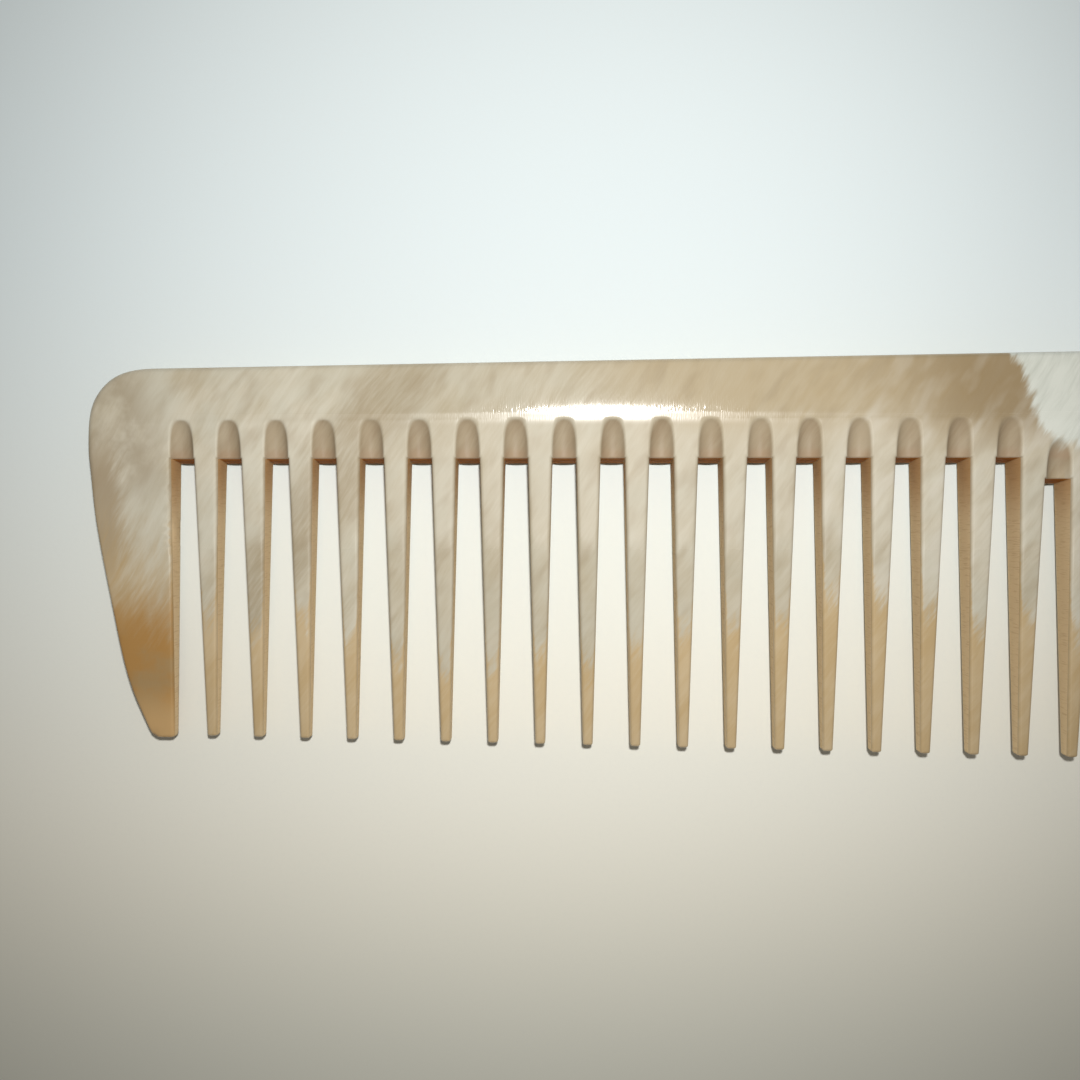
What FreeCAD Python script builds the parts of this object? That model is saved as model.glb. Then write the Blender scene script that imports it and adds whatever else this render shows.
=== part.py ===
import FreeCAD, Part
import os

# A wide tooth horn comb with a flat handle, lying on its side.
# The drawing frame, in millimetres: +X runs from the end guard to the handle, +Y from the tooth tips to the
# back, +Z up through the thickness. x = 0 is the middle of the first tooth, y = 0 is the line of the roots and
# z = 0 is the flat underside. At the end every piece is moved so that the origin is under the middle of the comb.

V = FreeCAD.Vector

# Teeth
TOOTH_COUNT = 20
PITCH = 6.0
ROOT_WIDTH = 3.0
TIP_WIDTH = 1.25
EDGE_RADIUS = 0.45           # rounding along the teeth
TIP_ROUND = 0.55             # length of the rounded end of a tooth
TIP_POINT = 0.5              # share of the section that is left at the very end of a tooth
FIRST_TIP_Y = -35.35         # end of the first tooth
TIP_SLOPE = -0.016           # the teeth grow this much longer per millimetre along the comb

# Roots of the gaps. Gap 0 lies before the first tooth. The last three are shallower, next to the handle.
HEEL_ROOTS = {18: -2.6, 19: -5.6, 20: -9.2}

# Thickness: flat from the back to the shoulder, then an even taper to the tips, and a little
# thicker towards the handle. The underside of the flat zone lies in the plane z = 0.
FLAT_HALF = 2.55             # half of the thickness of the flat zone at x = MIDDLE_X
MIDDLE_X = 50.0
GROWTH = 0.00209             # relative growth of the thickness per millimetre of x
SHOULDER_Y = 6.0             # where the flat zone ends and the taper begins
TAPER = 0.0361               # fall of the half thickness per millimetre of y
GROUND = 0.03                # the underside is ground flat by this much, after the edges are rounded
BLANK_BACK = 20.0            # the blank runs past the outline on all sides
BLANK_FRONT = -45.0
BLANK_LEFT = -25.0
BLANK_RIGHT = 195.0

# Ground relief above every root, cut into both faces with a round file
FILE_RADIUS = 1.9
RELIEF_TOP_Y = 4.8           # where the file leaves the face
RELIEF_DEPTH = 1.15          # how deep the file is at the root
FILE_LENGTH = 14.0

# Outline
BACK_Y = 11.49               # back edge at x = 0
BACK_SLOPE = 0.0128
GUARD_X = -4.5               # inner edge of the end guard at the root
GUARD_TIP_X = -4.85
GUARD_TIP_Y = -35.6
HEEL_X = 118.7               # inner edge of the heel guard at its root
HEEL_TIP_X = 119.6
HEEL_TIP_Y = -37.3
HANDLE_X = 126.0             # where the back bar ends and the handle begins
OUTER_RADIUS = 0.9           # rounding of the long outer edges

# Curved parts of the outline, each a smooth curve through a few points
GUARD_OUTER = [
    V(-15.1, 0, 0),
    V(-14.4, -7.0, 0),
    V(-12.4, -19.5, 0),
    V(-10.1, -29.8, 0),
    V(-8.5, -33.7, 0),
    V(-6.9, GUARD_TIP_Y, 0),
]
BACK_CORNER = [
    V(-6.5, BACK_Y + BACK_SLOPE * -6.5, 0),
    V(-11.6, 10.4, 0),
    V(-14.3, 7.3, 0),
    V(-15.15, 2.8, 0),
    GUARD_OUTER[0],
]
HEEL_OUTER = [
    V(121.8, HEEL_TIP_Y, 0),
    V(123.7, -35.2, 0),
    V(126.2, -28.0, 0),
    V(129.6, -17.6, 0),
    V(134.8, HEEL_ROOTS[TOOTH_COUNT], 0),
]
HEEL_LEAN = V(0.70, 0.71, 0)             # direction of the outline where the heel guard meets the handle
GRIP_NECK = V(152.0, -5.4, 0)            # the narrowest place of the handle
GRIP_END_X = 172.0                       # where the half round end begins
GRIP_LOW_Y = -7.2
GRIP_HIGH_Y = 14.2


def growth(x):
    """Thickness at x as a share of the thickness at MIDDLE_X."""
    return 1 + GROWTH * (x - MIDDLE_X)


def middle_z(x):
    return FLAT_HALF * growth(x) - GROUND


def half_thickness(x, y):
    return (FLAT_HALF - TAPER * max(0.0, SHOULDER_Y - y)) * growth(x)


def back_y(x):
    return BACK_Y + BACK_SLOPE * x


def tooth_x(number):
    return (number - 1) * PITCH


def tooth_tip_y(number):
    return FIRST_TIP_Y + TIP_SLOPE * tooth_x(number)


def tooth_width(number, y):
    return ROOT_WIDTH - (ROOT_WIDTH - TIP_WIDTH) * y / tooth_tip_y(number)


def gap_x(gap):
    """Middle of the gap after tooth number gap."""
    return tooth_x(gap) + PITCH / 2


def root_y(gap):
    return HEEL_ROOTS.get(gap, 0.0)


def line(points):
    """Straight edges through the points, open."""
    return [Part.LineSegment(a, b).toShape() for a, b in zip(points, points[1:])]


def spline(points, start=None, end=None):
    """One smooth edge through the points, with its end directions if they are given."""
    curve = Part.BSplineCurve()
    if start and end:
        curve.interpolate(Points=points, InitialTangent=start, FinalTangent=end)
    else:
        curve.interpolate(Points=points)
    return curve.toShape()


def face_profile(x, side):
    """Upper (side 1) or lower (side -1) face of the plate at x.
    Poles in one line keep the curve straight there, so only the shoulder is bent."""
    poles = []
    shoulder = [SHOULDER_Y + 2, SHOULDER_Y, SHOULDER_Y - 2]
    for y in [BLANK_BACK, BLANK_BACK - 6] + shoulder + [BLANK_FRONT + 16, BLANK_FRONT]:
        poles.append(V(x, y, middle_z(x) + side * half_thickness(x, y)))
    curve = Part.BSplineCurve()
    curve.buildFromPoles(poles)
    return curve.toShape()


def blank_section(x):
    """The plate's closed section at x: flat behind the shoulder, tapered in front of it."""
    upper = face_profile(x, 1)
    lower = face_profile(x, -1)
    front = Part.LineSegment(upper.lastVertex().Point, lower.lastVertex().Point).toShape()
    back = Part.LineSegment(lower.firstVertex().Point, upper.firstVertex().Point).toShape()
    return Part.Wire([upper, front, lower, back])


def blank():
    """The ground plate that every flat piece is cut from."""
    return Part.makeLoft([blank_section(BLANK_LEFT), blank_section(BLANK_RIGHT)], True, True)


def column(edges):
    """The outline's edges as a tall column to cut the blank with."""
    face = Part.Face(Part.Wire(Part.__sortEdges__(edges)))
    face.translate(V(0, 0, -5))
    return face.extrude(V(0, 0, 20))


def largest(shape):
    return max(shape.Solids, key=lambda solid: solid.Volume)


def file_cut(gap, side):
    """The round file's path over one gap root: a cylinder that leans into the face."""
    x = gap_x(gap)
    y = root_y(gap)
    fall = RELIEF_DEPTH / RELIEF_TOP_Y
    face_slope = TAPER * growth(x)
    root = V(x, y, middle_z(x) + side * (half_thickness(x, y) - RELIEF_DEPTH + FILE_RADIUS))
    lean = V(0, 1, side * (fall - face_slope))
    lean.normalize()
    start = root - lean * FILE_LENGTH / 2
    return Part.makeCylinder(FILE_RADIUS, FILE_LENGTH, start, lean)


def rim_edges(solid, seams):
    """Edges where a wide face meets an outer wall.
    seams is a test that says whether a wall is a joint face."""
    found = []
    for edge in solid.Edges:
        faces = solid.ancestorsOfType(edge, Part.Face)
        if len(faces) != 2:
            continue
        middle = edge.valueAt((edge.FirstParameter + edge.LastParameter) / 2)
        lean = []
        for face in faces:
            u, v = face.Surface.parameter(middle)
            lean.append(abs(face.normalAt(u, v).z))
        wall = faces[lean.index(min(lean))]
        if min(lean) < 0.3 and max(lean) > 0.9 and not seams(wall):
            found.append(edge)
    return found


def flat_at(face, axis, value):
    """True if the face lies in the plane where that coordinate has that value."""
    box = face.BoundBox
    low = getattr(box, axis + "Min")
    high = getattr(box, axis + "Max")
    return abs(low - value) < 0.01 and abs(high - value) < 0.01


def rounded(solid, radius, seams):
    return solid.makeFillet(radius, rim_edges(solid, seams))


def bezier(*poles):
    """A curve that leaves the first pole towards the second and reaches the last from the one before it."""
    curve = Part.BezierCurve()
    curve.setPoles(list(poles))
    return curve.toShape()


def ground(solid):
    """The solid with its underside flat in the plane z = 0."""
    return largest(solid.cut(Part.makeBox(300, 100, 5, V(-50, -50, -5))))


def end_guard(plate):
    """The broad first tooth, below the line of the roots."""
    outer = spline(GUARD_OUTER, V(0.09, -1, 0), V(1, 0, 0))
    tip_end = V(GUARD_TIP_X - 1, GUARD_TIP_Y, 0)
    flank_end = V(GUARD_TIP_X, GUARD_TIP_Y + 1, 0)
    corner = bezier(tip_end, V(GUARD_TIP_X, GUARD_TIP_Y, 0), flank_end)
    straight = line([flank_end, V(GUARD_X, 0, 0), GUARD_OUTER[0]])
    tip = line([GUARD_OUTER[-1], tip_end])
    body = largest(plate.common(column([outer] + tip + [corner] + straight)))
    return rounded(body, EDGE_RADIUS, lambda wall: flat_at(wall, "Y", 0))


def tooth_section(number, y, share):
    """A rounded rectangle across a tooth, shrunk to a share of its size."""
    x = tooth_x(number)
    half_width = tooth_width(number, y) / 2 * share
    half_height = half_thickness(x, y) * share
    radius = EDGE_RADIUS * share
    mid = middle_z(x)
    inner_x = half_width - radius
    inner_z = half_height - radius
    diagonal = radius * 0.5 ** 0.5
    edges = []
    for side_x, side_z in ((1, 1), (-1, 1), (-1, -1), (1, -1)):
        flat = V(x + side_x * inner_x, y, mid + side_z * half_height)
        wall = V(x + side_x * half_width, y, mid + side_z * inner_z)
        bulge = V(x + side_x * (inner_x + diagonal), y, mid + side_z * (inner_z + diagonal))
        corner = (wall, bulge, flat) if side_x * side_z > 0 else (flat, bulge, wall)
        edges.append(Part.Arc(*corner).toShape())
        next_x, next_z = (side_x * -1, side_z) if side_x * side_z > 0 else (side_x, side_z * -1)
        if next_x == side_x:
            end = V(x + side_x * half_width, y, mid + next_z * inner_z)
        else:
            end = V(x + next_x * inner_x, y, mid + side_z * half_height)
        edges.append(Part.LineSegment(corner[2], end).toShape())
    return Part.Wire(edges)


def tooth(number):
    top = root_y(number)
    tip = tooth_tip_y(number)
    stations = [
        (top, 1.0),
        (tip + TIP_ROUND, 1.0),
        (tip + TIP_ROUND * 0.35, 0.86),
        (tip, TIP_POINT),
    ]
    wires = [tooth_section(number, y, share) for y, share in stations]
    return Part.makeLoft(wires, True, True)


def flank(number, y, side):
    """Point on a tooth's side at y: side -1 is towards the end guard."""
    return V(tooth_x(number) + side * tooth_width(number, y) / 2, y, 0)


def bar_outline():
    """The lower edge steps down along the last teeth, and the back has a round corner over the end guard."""
    level = 0.0
    points = [GUARD_OUTER[0]]
    for gap, lower in sorted(HEEL_ROOTS.items()):
        points.append(flank(gap, level, -1))
        points.append(flank(gap, lower, -1))
        level = lower
    points.append(V(HANDLE_X, level, 0))
    points.append(V(HANDLE_X, back_y(HANDLE_X), 0))
    points.append(BACK_CORNER[0])
    return line(points) + [spline(BACK_CORNER, V(-1, -BACK_SLOPE, 0), V(0.09, -1, 0))]


def back_bar(plate):
    """The plate that carries the teeth, with the ground relief over every root."""
    body = largest(plate.common(column(bar_outline())))

    def seam(wall):
        return flat_at(wall, "X", HANDLE_X) or wall.BoundBox.YMax < 0.01

    body = rounded(body, OUTER_RADIUS, seam)
    for gap in range(TOOTH_COUNT + 1):
        for side in (1, -1):
            body = body.cut(file_cut(gap, side))
    return ground(body)


def heel_guard(plate):
    """The broad last tooth, whose outer edge curves into the handle."""
    level = root_y(TOOTH_COUNT)
    tip_start = V(HEEL_TIP_X + 1, HEEL_TIP_Y, 0)
    flank_end = V(HEEL_TIP_X, HEEL_TIP_Y + 1, 0)
    corner = bezier(tip_start, V(HEEL_TIP_X, HEEL_TIP_Y, 0), flank_end)
    tip = line([HEEL_OUTER[0], tip_start])
    straight = line([flank_end, V(HEEL_X, level, 0), HEEL_OUTER[-1]])
    outer = spline(HEEL_OUTER, V(1, 0, 0), HEEL_LEAN)
    body = largest(plate.common(column([outer] + tip + [corner] + straight)))
    return rounded(body, EDGE_RADIUS, lambda wall: flat_at(wall, "Y", level))


def handle(plate):
    """The flat grip, from the back bar to the round end."""
    level = root_y(TOOTH_COUNT)
    corner = HEEL_OUTER[-1]
    back = V(HANDLE_X, back_y(HANDLE_X), 0)
    low = V(GRIP_END_X, GRIP_LOW_Y, 0)
    high = V(GRIP_END_X, GRIP_HIGH_Y, 0)
    end = V(GRIP_END_X + (GRIP_HIGH_Y - GRIP_LOW_Y) / 2, (GRIP_HIGH_Y + GRIP_LOW_Y) / 2, 0)
    outer = [
        bezier(corner, corner + HEEL_LEAN * 6, GRIP_NECK + V(-8, 0, 0), GRIP_NECK),
        bezier(GRIP_NECK, GRIP_NECK + V(7, 0, 0), low + V(-9, 0, 0), low),
        Part.Arc(low, end, high).toShape(),
        bezier(high, high + V(-12, 0, 0), back + V(16, BACK_SLOPE * 16, 0), back),
    ]
    straight = line([back, V(HANDLE_X, level, 0), corner])
    body = largest(plate.common(column(outer + straight)))

    def seam(wall):
        return flat_at(wall, "X", HANDLE_X) or flat_at(wall, "Y", level)

    return ground(rounded(body, OUTER_RADIUS, seam))


def build():
    plate = blank()
    pieces = {"end_guard": end_guard(plate), "back_bar": back_bar(plate)}
    for number in range(1, TOOTH_COUNT + 1):
        pieces[f"tooth_{number:02d}"] = tooth(number)
    pieces["heel_guard"] = heel_guard(plate)
    pieces["handle"] = handle(plate)
    return pieces


def main():
    os.makedirs("parts", exist_ok=True)
    pieces = build()
    box = FreeCAD.BoundBox()
    for shape in pieces.values():
        box.add(shape.optimalBoundingBox(False, False))
    shift = V(-box.Center.x, -box.Center.y, 0)
    print(f"moved by {shift.x:.3f} {shift.y:.3f}")
    print(f"size {box.XLength:.2f} x {box.YLength:.2f} x {box.ZLength:.2f}")
    for name, shape in pieces.items():
        shape.translate(shift)
        print(f"{name}: valid {shape.isValid()}, {len(shape.Solids)} solid, {shape.Volume:.1f} mm3")
        shape.exportStep(f"parts/{name}.step")


main()
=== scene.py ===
import math
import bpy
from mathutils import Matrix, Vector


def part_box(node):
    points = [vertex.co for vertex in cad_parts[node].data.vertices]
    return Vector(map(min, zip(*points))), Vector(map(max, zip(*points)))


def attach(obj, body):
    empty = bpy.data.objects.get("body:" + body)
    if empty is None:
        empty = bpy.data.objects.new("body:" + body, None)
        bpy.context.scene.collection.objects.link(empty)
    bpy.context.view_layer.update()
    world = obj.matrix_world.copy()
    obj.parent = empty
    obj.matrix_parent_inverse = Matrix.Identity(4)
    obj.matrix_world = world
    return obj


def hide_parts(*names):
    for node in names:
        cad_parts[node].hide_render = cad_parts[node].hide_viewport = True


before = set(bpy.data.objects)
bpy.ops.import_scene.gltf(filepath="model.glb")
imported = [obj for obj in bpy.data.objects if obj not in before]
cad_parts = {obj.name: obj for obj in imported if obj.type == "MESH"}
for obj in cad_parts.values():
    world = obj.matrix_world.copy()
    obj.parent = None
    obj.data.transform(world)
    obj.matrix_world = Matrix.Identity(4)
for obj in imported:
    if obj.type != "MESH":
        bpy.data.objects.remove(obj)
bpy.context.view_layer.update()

from types import SimpleNamespace

import bpy
import numpy as np
from mathutils.geometry import delaunay_2d_cdt

# A wide tooth comb of polished horn. Shapes are worked out in the drawing frame of the CAD model, in
# millimetres: x = 0 is the middle of the first tooth, y = 0 the line of the roots, z = 0 the underside.
MM = 0.001
first_low, first_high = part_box("tooth_01")
SHIFT_X = (first_low.x + first_high.x) / 2
SHIFT_Y = first_high.y

# teeth
TEETH = 20
PITCH = 6.0
ROOT_WIDTH = 3.0
TIP_WIDTH = 1.25
HALF_GAP = (PITCH - ROOT_WIDTH) / 2
FIRST_TIP_Y = -35.35
TIP_SLOPE = -0.016           # the line of the tips falls towards the handle
HEEL_ROOT = -9.2
ROOTS = {18: -2.6, 19: -5.6, 20: HEEL_ROOT}      # gaps whose roots step down towards the handle
NOSE_LENGTH = 0.42
NOSE_POWER = 3.2
NOSE = [0.0, 0.3, 0.52, 0.70, 0.83, 0.92, 0.98, 1.0]     # steps round the end of a tooth

# thickness
FLAT_HALF = 2.55             # half the thickness of the back at MIDDLE_X
MIDDLE_X = 50.0
GROWTH = 0.00209             # share by which the comb grows thicker with each millimetre of x
GROUND = 0.03                # this much is ground off the underside, which leaves it flat
SHOULDER_Y = 6.0             # the teeth begin to taper in front of this line
SHOULDER_SOFT = 1.3          # how gently the shoulder turns
TAPER = 0.0361               # half thickness lost with each millimetre in front of the shoulder
CREST = 0.10                 # the upper face turns down a little more just in front of the shoulder
CREST_LENGTH = 2.6
CROWN = 0.085                # the upper face falls a little towards the back too
FLAT_HANDLE_X = 110.0        # the crest and the crown fade out from here towards the handle
FLAT_HANDLE_FADE = 14

# ground arches over the roots
FILE_RADIUS = 1.60           # the arches are ground with a round file
RELIEF_TOP = 4.8
RELIEF_DEPTH = 1.10
RELIEF_SHAPE = 0.62          # the arches are steep at their upper end
RELIEF_SOFT = 0.20
RELIEF_SINK = RELIEF_SOFT * 0.12     # taken off again, so that nothing is cut beyond the arches
RELIEF_FADE = 3.0            # they fade into the flanks over this length below the root
TOP_RISE = 2.0               # how fast the cut runs out past their upper end and their sides
SIDE_RISE = 3
NEAR_SIDE, NEAR_TOP, NEAR_BOTTOM = 3.4, 1.5, 3.5         # further out there is no cut

# edges
FAR = 3.0                    # distances beyond this don't matter
EDGE = 0.45                  # rounding of the teeth
OUTER_EDGE = 0.85            # rounding of the back and of the handle
EDGE_CHANGE = 8              # the rounding of a guard's outer side changes over this length
ROOT_EDGE = 0.16
ROOT_EDGE_REACH = 1.5        # the root's rounding ends this far from the middle of the gap
ROOT_EDGE_FADE = 0.3
TIP_CORNER = 0.6             # rounding of the inner corners of the guards
ROOT_SLANT = 0.50            # the root walls stand a little proud at the bottom
SLANT_REACH = 1.4            # the slant fades out at this distance from the root

# contour
HALFWAY_X = 60               # parts the end guard's side of the comb from the heel's
BACK_Y = 11.49
BACK_SLOPE = 0.0128
HANDLE_X = 126.0
HANDLE_BACK = (HANDLE_X, BACK_Y + BACK_SLOPE * HANDLE_X)
HANDLE_NECK = (152, -5.4)
HANDLE_END_X, HANDLE_END_Y = 172, 3.5
HANDLE_HALF = 10.7
HANDLE_ROUND = 10.69         # the round end is a hair shorter than a half circle, inside the CAD model's box
GUARD_X, GUARD_TIP_X, GUARD_TIP_Y = -4.5, -4.85, -35.6
HEEL_X, HEEL_TIP_X, HEEL_TIP_Y = 118.7, 119.6, -37.3
GUARD_RIGHT, HEEL_LEFT = -4, 118                         # the guards lie beyond these in x
SIDE_DIRECTION = (0.09, -1)  # the left side leans a little inwards at y = 0
HEEL_DIRECTION = (0.70, 0.71)
LEFT_X = -15.1
GUARD_OUTER = [(LEFT_X, 0), (-14.4, -7.0), (-12.4, -19.5), (-10.1, -29.8), (-8.5, -33.7),
               (-6.9, GUARD_TIP_Y)]
BACK_CORNER = [(-6.5, BACK_Y - 6.5 * BACK_SLOPE), (-11.6, 10.4), (-14.3, 7.3), (LEFT_X, 2.8), (LEFT_X, 0)]
HEEL_OUTER = [(121.8, HEEL_TIP_Y), (123.7, -35.2), (126.2, -28.0), (129.6, -17.6), (134.8, HEEL_ROOT)]

# mesh
OUTER_STEP, CORNER_STEP = 0.8, 0.45
ROOT_STEPS = 12
RIM_ANGLES = np.radians([15, 30, 45, 60, 75, 90])
RIM_SHARES = 1 - np.cos(RIM_ANGLES)                      # rows of points across a rounded edge
ROOT_ROWS = [0.26, 0.42]                                 # further rows beside a root
SHARP_TURN = -0.5                                        # a sharper turn is an inner corner
FAN = (0, 0.25, 0.5, 0.75, 1)                            # directions of the rows at an inner corner
ACROSS = [0.0, 0.4, 0.75, 1.0, 1.2, 1.35, 1.48, 1.6, 1.72, 1.9, 2.2, 2.65]      # rows of points over an arch
ACROSS = [-u for u in ACROSS[:0:-1]] + ACROSS
ARCH_ROWS = list(np.arange(0.55, 3.2, 0.33)) + list(np.arange(3.35, 6.0, 0.17))
BACK_ROWS = (6.35, 6.8, 7.3, 7.9, 8.6, 9.4, 10.2, 10.9)
FLANK_ROWS = (0.15, 0.35, 0.6, 0.9, 1.3, 1.8, 2.4, 3.1)
FLANK_STEP = 1.1
BACK_COLUMNS = (-14, 182, 0.8)                           # from, to and step
GUARD_GRID = ((-14.5, -4.5, 0.85), (-35, 6, 0.95))
HEEL_GRID = ((118.2, 183, 0.95), (-36.5, 14, 0.95))
MIDLINE_START, MIDLINE_END, MIDLINE_STEP = 0.3, 6.0, 0.4
SLIM_TOOTH = 0.8             # a tooth narrower than twice this has one row of points on its face
FACE_ROW = 0.45
LAST_ROW = 0.5               # above the tip
FACE_CLEAR = 0.18            # least distance of a point on a face from the contour
RIM_CLEAR = 0.985            # the same for the rows of an edge, as a share of their own distance
SEAM_CLEAR = 0.09
OUTER_CLEAR, FLANK_CLEAR = 0.15, 0.08                    # from a rounded edge to the points on the face
SEAM_END, SEAM_STEP, SEAM_LEAST = 0.9, 0.8, 0.06
SHORT_SEAM = 2.4
SEAM_MARGIN = 0.01
LEAST_SPACE = 0.045
SAME_PLACE = 1e-6
ON_OUTER_EDGE = 1e-4
MERGE = 1e-7
NO_AREA = 1e-9
DISTANCE_BATCH, INSIDE_BATCH = 300, 2000                 # points that are worked on at a time


# ---------------------------------------------------------------- shape

def growth(x):
    return 1 + GROWTH * (x - MIDDLE_X)


def middle_z(x):
    return FLAT_HALF * growth(x) - GROUND


def soft_positive(t, soft):
    """t where it is well above 0, and 0 where it is well below, with a soft turn between them."""
    return (t + np.sqrt(t * t + soft * soft)) / 2


def smoothstep(t):
    t = np.clip(t, 0, 1)
    return t * t * (3 - 2 * t)


def tooth_x(number):
    return (number - 1) * PITCH


def gap_x(gap):
    return gap * PITCH - PITCH / 2


def tip_y(number):
    return FIRST_TIP_Y + TIP_SLOPE * (number - 1) * PITCH


def width(number, y):
    return ROOT_WIDTH - (ROOT_WIDTH - TIP_WIDTH) * np.minimum(y, 0) / tip_y(number)


def root_y(gap):
    return ROOTS.get(gap, 0.0)


def flank_x(number, y, side):
    """Side of a tooth at y. Tooth 0 is the end guard and tooth 21 is the heel guard."""
    if number == 0:
        return GUARD_X + (GUARD_TIP_X - GUARD_X) * np.minimum(y, 0) / GUARD_TIP_Y
    if number == TEETH + 1:
        below = np.minimum(y, HEEL_ROOT) - HEEL_ROOT
        return HEEL_X + (HEEL_TIP_X - HEEL_X) * below / (HEEL_TIP_Y - HEEL_ROOT)
    return tooth_x(number) + side * width(number, y) / 2


def curve_through(points, start, end, step):
    """Points along a smooth curve through the given ones that leaves and arrives in the given directions."""
    p = np.array(points, float)
    spans = np.linalg.norm(np.diff(p, axis=0), axis=1)
    count = len(p)
    matrix = np.eye(count)
    wanted = np.zeros((count, 2))
    wanted[0] = np.array(start) / np.linalg.norm(start)
    wanted[-1] = np.array(end) / np.linalg.norm(end)
    for i in range(1, count - 1):
        before, after = spans[i - 1], spans[i]
        matrix[i, i - 1:i + 2] = after, 2 * (after + before), before
        wanted[i] = 3 * ((p[i] - p[i - 1]) * after / before + (p[i + 1] - p[i]) * before / after)
    slopes = np.linalg.solve(matrix, wanted)
    made = [p[0]]
    for i, span in enumerate(spans):
        parts = max(2, int(math.ceil(span / step)))
        for t in np.linspace(0, 1, parts + 1)[1:]:
            made.append((2 * t**3 - 3 * t**2 + 1) * p[i] + (t**3 - 2 * t**2 + t) * span * slopes[i]
                        + (3 * t**2 - 2 * t**3) * p[i + 1] + (t**3 - t**2) * span * slopes[i + 1])
    return np.array(made)


def bezier(poles, count):
    p = np.array(poles, float)
    t = np.linspace(0, 1, count + 1)[:, None]
    degree = len(p) - 1
    return sum(math.comb(degree, k) * t**k * (1 - t)**(degree - k) * p[k] for k in range(degree + 1))


def straight(a, b, count):
    return np.linspace(a, b, count + 1)


def flank_rows(top, bottom):
    """Heights of the rows down a flank: close together at the root, about a millimetre apart further down."""
    near = [top - d for d in FLANK_ROWS]
    far = np.linspace(near[-1], bottom, max(4, int((near[-1] - bottom) / FLANK_STEP)) + 1)[1:]
    return [top] + near + list(far)


def tooth_outline(number):
    """Down the left side of a tooth, round its end and up its right side."""
    shoulder = tip_y(number) + NOSE_LENGTH
    left = [(flank_x(number, y, -1), y) for y in flank_rows(root_y(number - 1), shoulder)]
    right = [(flank_x(number, y, 1), y) for y in flank_rows(root_y(number), shoulder)]
    x = tooth_x(number)
    half = width(number, shoulder) / 2
    nose_left = []
    for q in NOSE[1:]:
        out = half * (1 - q**NOSE_POWER) ** (1 / NOSE_POWER)
        nose_left.append((x - out, tip_y(number) + NOSE_LENGTH * (1 - q)))
    nose_right = [(2 * x - px, py) for px, py in nose_left[:-1]]
    return np.array(left + nose_left + nose_right[::-1] + right[::-1])


def root_run(gap, y):
    return straight((flank_x(gap, y, 1), y), (flank_x(gap + 1, y, -1), y), ROOT_STEPS)


def guard_outline():
    """Down the outside of the end guard, round its tip and up to its root."""
    outer = curve_through(GUARD_OUTER, SIDE_DIRECTION, (1, 0), OUTER_STEP)
    corner = (GUARD_TIP_X - TIP_CORNER, GUARD_TIP_Y)
    turn = [corner, (GUARD_TIP_X, GUARD_TIP_Y), (GUARD_TIP_X, GUARD_TIP_Y + TIP_CORNER)]
    rows = flank_rows(0.0, GUARD_TIP_Y + TIP_CORNER)
    return [("outer", outer),
            ("outer", straight(outer[-1], corner, count=3)),
            ("flank", bezier(turn, count=7)),
            ("flank", np.array([(flank_x(0, y, 1), y) for y in rows[::-1]]))]


def heel_outline():
    """Down the inner side of the heel guard, round its tip and up to the handle."""
    corner = (HEEL_TIP_X + TIP_CORNER, HEEL_TIP_Y)
    turn = [(HEEL_TIP_X, HEEL_TIP_Y + TIP_CORNER), (HEEL_TIP_X, HEEL_TIP_Y), corner]
    rows = flank_rows(HEEL_ROOT, HEEL_TIP_Y + TIP_CORNER)
    return [("flank", np.array([(flank_x(TEETH + 1, y, -1), y) for y in rows])),
            ("flank", bezier(turn, count=7)),
            ("outer", straight(corner, HEEL_OUTER[0], count=2)),
            ("outer", curve_through(HEEL_OUTER, (1, 0), HEEL_DIRECTION, OUTER_STEP))]


def handle_outline():
    """Along the front of the handle, round its end and back along the comb to the left corner."""
    neck_x, neck_y = HANDLE_NECK
    x, y = HEEL_OUTER[-1]
    bottom, top = HANDLE_END_Y - HANDLE_HALF, HANDLE_END_Y + HANDLE_HALF
    turn = np.linspace(-math.pi / 2, math.pi / 2, 45)
    end_x = HANDLE_END_X + HANDLE_ROUND * np.cos(turn)
    end_y = HANDLE_END_Y + HANDLE_HALF * np.sin(turn)
    back = [(HANDLE_END_X, top), (160, top), (142, HANDLE_BACK[1] + 16 * BACK_SLOPE), HANDLE_BACK]
    neck = [(x, y), (x + 4.2, y + 4.26), (144, neck_y), HANDLE_NECK]
    grip = [HANDLE_NECK, (neck_x + 7, neck_y), (163, bottom), (HANDLE_END_X, bottom)]
    return [("outer", bezier(neck, count=22)),
            ("outer", bezier(grip, count=20)),
            ("outer", np.stack([end_x, end_y], 1)),
            ("outer", bezier(back, count=46)),
            ("outer", straight(HANDLE_BACK, BACK_CORNER[0], count=150)),
            ("outer", curve_through(BACK_CORNER, (-1, -BACK_SLOPE), SIDE_DIRECTION, CORNER_STEP))]


def outline():
    """The whole comb's contour as runs of points with the kind of edge that each run has."""
    runs = guard_outline()
    for number in range(1, TEETH + 1):
        runs.append(("root", root_run(number - 1, root_y(number - 1))))
        runs.append(("flank", tooth_outline(number)))
    runs.append(("root", root_run(TEETH, HEEL_ROOT)))
    return runs + heel_outline() + handle_outline()


def distance(points, a, b):
    """Distance from every point to the nearest of the segments a to b, up to FAR."""
    best = np.full(len(points), FAR)
    low, high = np.minimum(a[:, 0], b[:, 0]) - FAR, np.maximum(a[:, 0], b[:, 0]) + FAR
    order = np.argsort(points[:, 0], kind="stable")
    for i in range(0, len(order), DISTANCE_BATCH):
        part = order[i:i + DISTANCE_BATCH]
        p = points[part]
        near = (low <= p[-1, 0]) & (high >= p[0, 0])
        if not near.any():
            continue
        start = a[near]
        d = b[near] - start
        length = np.maximum((d * d).sum(1), 1e-12)
        p = p[:, None, :]
        t = np.clip(((p - start) * d).sum(2) / length, 0, 1)
        q = start + t[..., None] * d - p
        best[part] = np.minimum(np.sqrt((q * q).sum(2).min(1)), FAR)
    return best


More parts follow.
